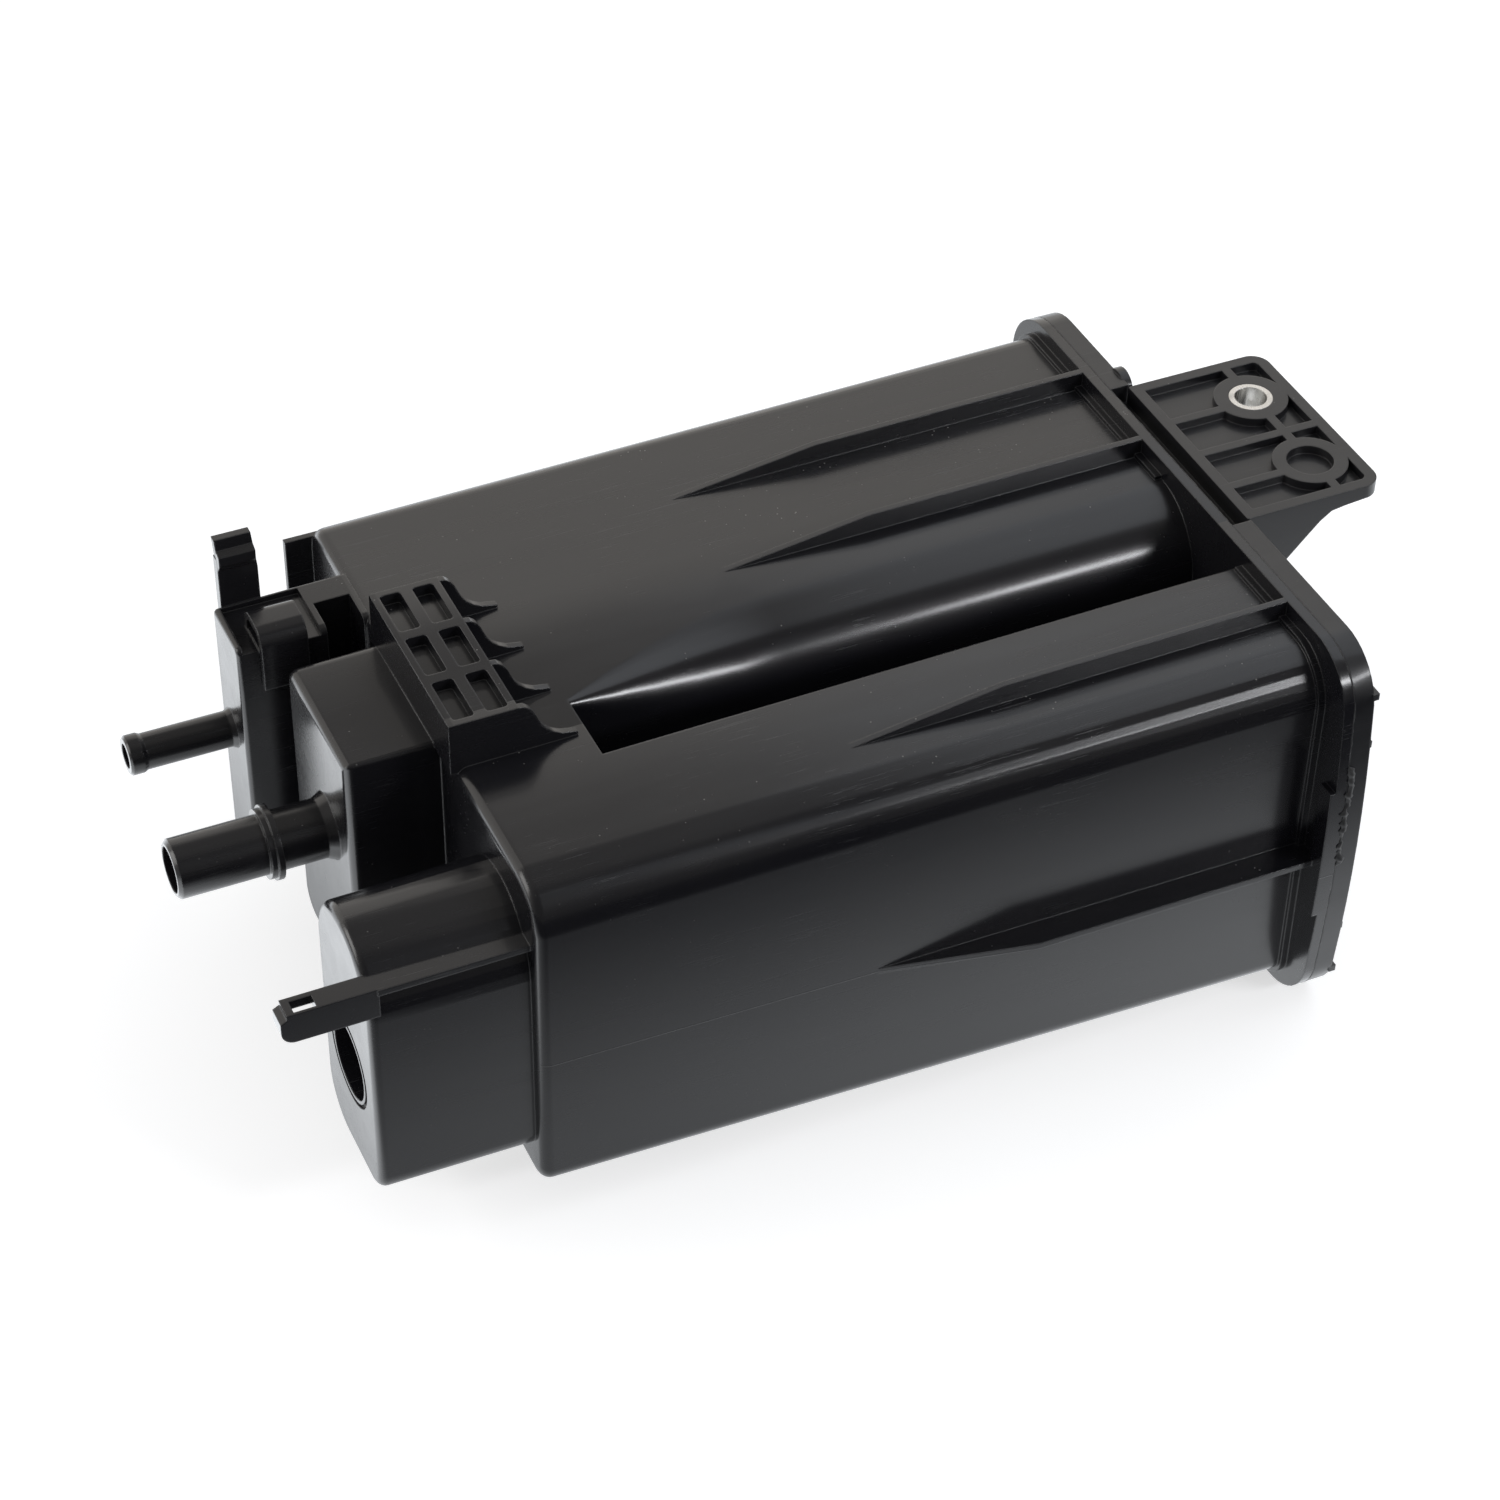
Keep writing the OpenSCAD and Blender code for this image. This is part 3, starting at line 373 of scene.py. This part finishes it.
def carbonFinish(name, p):
    f = Finish(name)
    pellets = f.cells(p["pellets"], jitter=0.9)
    crumbs = f.grain(1500, 3, 0.6)
    # Darker between the pellets: painted shade in the gaps
    colour = f.mix(pellets.rise(0.1, 0.7), p["colour"], p["gapShade"])
    normal = f.bump(pellets * -1.0 + crumbs * 0.15, p["depth"], 1.0)
    rough = crumbs.rise(0.3, 0.7, *p["roughness"])
    return f.surface(Base_Color=colour, Roughness=rough, Normal=normal)


foam = {
    "struts": (0.16, 0.16, 0.17),
    # painted shade inside the pores
    "poreShade": (0.03, 0.03, 0.032),
    "pores": 900,  # to the metre
    "depth": 0.6 * mm,
    "roughness": (0.85, 0.95),
}


def foamFinish(name, p):
    f = Finish(name)
    pores = f.cells(p["pores"], feature="DISTANCE_TO_EDGE")
    tone = f.grain(120, 3, 0.6)
    # Darker inside the pores: painted shade in the hollows
    colour = f.mix(pores.rise(0.02, 0.16), p["struts"], p["poreShade"])
    normal = f.bump(pores * -1.0 + tone * 0.2, p["depth"], 1.0)
    rough = tone.rise(0.3, 0.7, *p["roughness"])
    return f.surface(Base_Color=colour, Roughness=rough, Normal=normal)


finishes = {
    "housing_plastic": plasticFinish("housingPlastic", plastic, True),
    "cover_plastic": plasticFinish("coverPlastic", {**plastic, "roughness": 0.4}, False),
    "sleeve_steel": steelFinish("sleeveSteel", sleeve),
    "grid_plastic": gridFinish("gridPlastic", grid),
    "felt": feltFinish("needleFelt", felt),
    "carbon": carbonFinish("carbonPellets", carbon),
    "spring_steel": steelFinish("springWire", spring),
    "foam": foamFinish("portFoam", foam),
}
for part in frame["record"]["subparts"]:
    mesh = nodes[part["node"]].data
    mesh.materials.clear()
    mesh.materials.append(finishes[part["material_slot"]])
print("finishes made:", len(finishes))


# Smooth shading: curved faces shade as one, flat ones stay flat and edges over the angle sharp
smoothing = {"weld": 0.002 * mm, "angle": 24, "weight": 90}


def smoothTree(p):
    tree = bpy.data.node_groups.new("smoothByAngle", "GeometryNodeTree")
    for way in ("INPUT", "OUTPUT"):
        tree.interface.new_socket("Geometry", in_out=way, socket_type="NodeSocketGeometry")
    node, link = tree.nodes.new, tree.links.new
    start, end = node("NodeGroupInput"), node("NodeGroupOutput")
    weld = node("GeometryNodeMergeByDistance")
    weld.inputs["Distance"].default_value = p["weld"]
    smooth = node("GeometryNodeSetShadeSmooth")
    angle = node("GeometryNodeInputMeshEdgeAngle")
    sharp = node("FunctionNodeCompare")
    sharp.data_type = "FLOAT"
    sharp.operation = "GREATER_THAN"
    sharp.inputs[1].default_value = math.radians(p["angle"])
    crease = node("GeometryNodeSetShadeSmooth")
    crease.domain = "EDGE"
    crease.inputs["Shade Smooth"].default_value = False
    link(start.outputs[0], weld.inputs["Geometry"])
    link(weld.outputs["Geometry"], smooth.inputs["Geometry"])
    link(smooth.outputs["Geometry"], crease.inputs["Geometry"])
    link(angle.outputs["Unsigned Angle"], sharp.inputs[0])
    link(sharp.outputs[0], crease.inputs["Selection"])
    link(crease.outputs["Geometry"], end.inputs[0])
    return tree


smoothGroup = smoothTree(smoothing)
for obj in nodes.values():
    soften = obj.modifiers.new("smooth", "NODES")
    soften.node_group = smoothGroup
    weigh = obj.modifiers.new("weigh", "WEIGHTED_NORMAL")
    weigh.mode = "FACE_AREA"
    weigh.weight = smoothing["weight"]
    weigh.keep_sharp = True
print("nodes smoothed")


def addPiece(name, vertices, faces, finish, slot):
    mesh = bpy.data.meshes.new(name)
    mesh.from_pydata([tuple(v) for v in vertices], [], faces)
    mesh.validate()
    tidy = bmesh.new()
    tidy.from_mesh(mesh)
    bmesh.ops.recalc_face_normals(tidy, faces=tidy.faces)
    tidy.to_mesh(mesh)
    tidy.free()
    mesh.polygons.foreach_set("use_smooth", [True] * len(mesh.polygons))
    mesh.materials.append(finish)
    obj = bpy.data.objects.new(name, mesh)
    bpy.context.scene.collection.objects.link(obj)
    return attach(obj, "root")


def turnsRight(a, b, c):
    return (b[0] - a[0]) * (c[1] - a[1]) - (b[1] - a[1]) * (c[0] - a[0]) <= 0


def outlineAt(name, x, reach):
    # The node's outline round the X axis, from its own points near that place
    points = [v.co for v in nodes[name].data.vertices if abs(v.co.x - x) < reach]
    spots = sorted({(round(q.y, 6), round(q.z, 6)) for q in points})

    def chain(run):
        hull = []
        for q in run:
            while len(hull) > 1 and turnsRight(hull[-2], hull[-1], q):
                hull.pop()
            hull.append(q)
        return hull[:-1]

    return [Vector((x, y, z)) for y, z in chain(spots) + chain(spots[::-1])]


def evenSteps(loop, step):
    # Points a step apart round a closed outline, each with the outline's outward direction
    laps = list(zip(loop, loop[1:] + loop[:1]))
    around = sum((b - a).length for a, b in laps)
    count = int(around / step)
    spots, done, lap = [], 0.0, 0
    for k in range(count):
        want = around * k / count
        while done + (laps[lap][1] - laps[lap][0]).length < want:
            done += (laps[lap][1] - laps[lap][0]).length
            lap += 1
        a, b = laps[lap]
        along = (b - a).normalized()
        spots.append((a + along * (want - done), Vector((0, along.z, -along.y))))
    return spots


def closedTube(rings):
    sides = len(rings[0])
    vertices = [v for ring in rings for v in ring]
    faces = []
    for k in range(len(rings)):
        for j in range(sides):
            a, b = k * sides + j, k * sides + (j + 1) % sides
            nextRing = ((k + 1) % len(rings)) * sides
            faces.append((a, b, nextRing + (j + 1) % sides, nextRing + j))
    return vertices, faces


# Weld flash: a thin uneven bead squeezed out between flange and cover, crumbled on the near side
flash = {
    "seed": 11,
    "step": 0.8 * mm,
    "sides": 6,
    "flat": 0.8,
    "sunk": 0.10 * mm,
    "seam": 0.02 * mm,  # how near the cover's face its outline is taken
    "bead": 0.20 * mm,
    "beadDrift": 0.12 * mm,
    "crumb": 1.9 * mm,
    "crumbDrift": 1.1 * mm,
    "crumbShift": 0.5 * mm,
    "crumbDepth": 3 * mm,
    "crumbHeights": (-63 * mm, -31 * mm),
    "torn": {
        "colour": (0.026, 0.026, 0.027),
        "paler": (0.05, 0.05, 0.05),
        "roughness": 0.46,
        "skin": 0.1,
    },
}


def weldFlash(p):
    draw = random.Random(p["seed"])
    low, high = p["crumbHeights"]
    rings = []
    swell = wander = 0.0
    for spot, outward in evenSteps(outlineAt("end_cover", coverLow.x, p["seam"]), p["step"]):
        crumbling = spot.y < coverLow.y + p["crumbDepth"] and low < spot.z < high
        swell = 0.55 * swell + 0.45 * draw.uniform(0.1, 1.0)
        wander = 0.6 * wander + 0.4 * draw.uniform(-1, 1)
        if crumbling:
            size = p["crumb"] * swell * draw.uniform(0.5, 1.15)
            drift = wander * p["crumbDrift"] + p["crumbShift"]
        else:
            size = p["bead"] * (0.5 + swell)
            drift = wander * p["beadDrift"]
        centre = spot - outward * p["sunk"] + Vector((drift, 0, 0))
        ring = []
        for j in range(p["sides"]):
            a = 2 * math.pi * j / p["sides"]
            reach = size * draw.uniform(0.75, 1.2)
            away = outward * math.cos(a) * reach * p["flat"]
            ring.append(centre + away + Vector((math.sin(a) * reach, 0, 0)))
        rings.append(ring)
    torn = plasticFinish("tornPlastic", {**plastic, **p["torn"]}, False)
    return addPiece("weld_flash", *closedTube(rings), torn, "cover_plastic")


weldFlash(flash)
print("weld flash made")


# Floor, light and background: a pale floor, a white backdrop behind and a dimmer room in front
studio = {
    "floorDrop": 0.3 * mm,
    "floorSize": 5.0,
    "floorColour": (0.80, 0.80, 0.80),
    "floorLift": 0.60,  # what the floor shows the camera of its own light, near the canister
    "farLift": (0.6, 1.5, 1.1),  # from this far, to this far, up to this
    "floorSheen": (0.94, 0.97, 1.0),  # the colour of the floor's reflection in the plastic
    "nearGlow": 1.02,
    "nearSide": (-0.222, -0.115),  # in front of the canister, where that reflection comes in
    "alongGlow": (-0.34, 0.06, 0.55, 1.35),  # from x, to x, its level at both
    "leftGlow": 2.1,
    "leftEdge": (-0.27, -0.33),
    "leftSide": (-0.13, -0.09),
    "worldLevel": 0.42,
    "worldColour": (0.97, 0.98, 1.0),
    "backdrop": (1.0, 0.958, 0.90),
    "backdropRise": (0.52, 0.69),
    "roomLevel": 0.10,
    "roomRise": (-0.6, -0.1),
    "ceiling": 0.30,
}

lamps = {
    "overhead": {
        "place": (0.66, 0.22, 1.00),
        "size": (0.85, 1.3),
        "power": 3.0,
        "aim": (0.66, 0.22, 0.0),
        "colour": (0.86, 0.92, 1.0),
    },
    "frontLeft": {
        "place": (0.17, -1.00, 0.92),
        "size": (0.16, 0.40),
        "power": 0.10,
        "aim": (-0.27, -0.08, -0.03),
        "colour": (0.86, 0.92, 1.0),
    },
    "frontRight": {
        "place": (0.67, -1.12, 0.665),
        "size": (0.50, 0.15),
        "power": 5.4,
        "aim": (-0.05, -0.08, -0.02),
        "colour": (0.96, 0.97, 1.0),
    },
    "left": {
        "place": (-1.25, 0.25, 0.45),
        "size": (0.7, 0.6),
        "power": 4.0,
        "aim": (-0.20, 0.0, -0.05),
        "colour": (1.0, 0.99, 0.97),
    },
}


def makeWorld(p):
    f = Finish("studio", bpy.data.worlds, "Generated")
    away = f.axes(f.place)[1]
    mirrored = f.seenBy("Is Glossy Ray", "Is Transmission Ray")
    seen = f.seenBy("Is Camera Ray")
    colour = f.mix(mirrored, p["worldColour"], p["backdrop"])
    colour = f.mix(seen, colour, (1, 1, 1))
    room = away.rise(*p["roomRise"], p["roomLevel"], p["ceiling"])
    room = room + away.rise(*p["backdropRise"], 0.0, 1 - p["ceiling"])
    level = f.blend(seen, f.blend(mirrored, p["worldLevel"], room), 1.0)
    shader = f.add("ShaderNodeBackground", None, {"Color": colour, "Strength": level})
    f.add("ShaderNodeOutputWorld", None, {"Surface": shader})
    bpy.context.scene.world = f.mat


def makeFloor(p, level):
    f = Finish("paleFloor")
    x, y = f.axes(f.place)[:2]
    near = y.rise(*p["nearSide"]) * p["nearGlow"]
    left = x.rise(*p["leftEdge"]) * y.rise(*p["leftSide"])
    sheen = near * x.rise(*p["alongGlow"]) * (1 - left) + left * p["leftGlow"]
    start, end, top = p["farLift"]
    lift = ((x * x + y * y) ** 0.5).rise(start, end, p["floorLift"], top)
    lift = f.seenBy("Is Camera Ray") * lift
    matt = f.add("ShaderNodeBsdfDiffuse", None, {"Color": (*p["floorColour"], 1)})
    glow = f.add("ShaderNodeEmission", None, {"Color": (1, 1, 1, 1), "Strength": lift})
    seen = f.add("ShaderNodeAddShader", None, {0: matt, 1: glow})
    colour = (*p["floorSheen"], 1)
    gloss = f.add("ShaderNodeEmission", None, {"Color": colour, "Strength": sheen})
    mirrored = f.seenBy("Is Glossy Ray", "Is Transmission Ray")
    both = f.add("ShaderNodeMixShader", None, {0: mirrored, 1: seen, 2: gloss})
    f.add("ShaderNodeOutputMaterial", None, {"Surface": both})
    half = p["floorSize"] / 2
    corners = [(a * half, b * half, level) for a, b in ((-1, -1), (1, -1), (1, 1), (-1, 1))]
    mesh = bpy.data.meshes.new("floor")
    mesh.from_pydata(corners, [], [(0, 1, 2, 3)])
    mesh.materials.append(f.mat)
    floor = bpy.data.objects.new("floor", mesh)
    bpy.context.scene.collection.objects.link(floor)


def makeLamp(name, p):
    data = bpy.data.lights.new(name, "AREA")
    data.shape = "RECTANGLE"
    data.size, data.size_y = p["size"]
    data.energy = p["power"]
    data.color = p["colour"]
    lamp = bpy.data.objects.new(name, data)
    bpy.context.scene.collection.objects.link(lamp)
    away = Vector(p["place"]) - Vector(p["aim"])
    turn = away.to_track_quat("Z", "Y").to_matrix().to_4x4()
    lamp.matrix_world = Matrix.Translation(p["place"]) @ turn


makeWorld(studio)
makeFloor(studio, min(bodyLow.z, coverLow.z) - studio["floorDrop"])
for name, lamp in lamps.items():
    makeLamp(name, lamp)
bpy.context.scene.view_settings.view_transform = "Standard"
print("studio set")

bpy.context.view_layer.update()
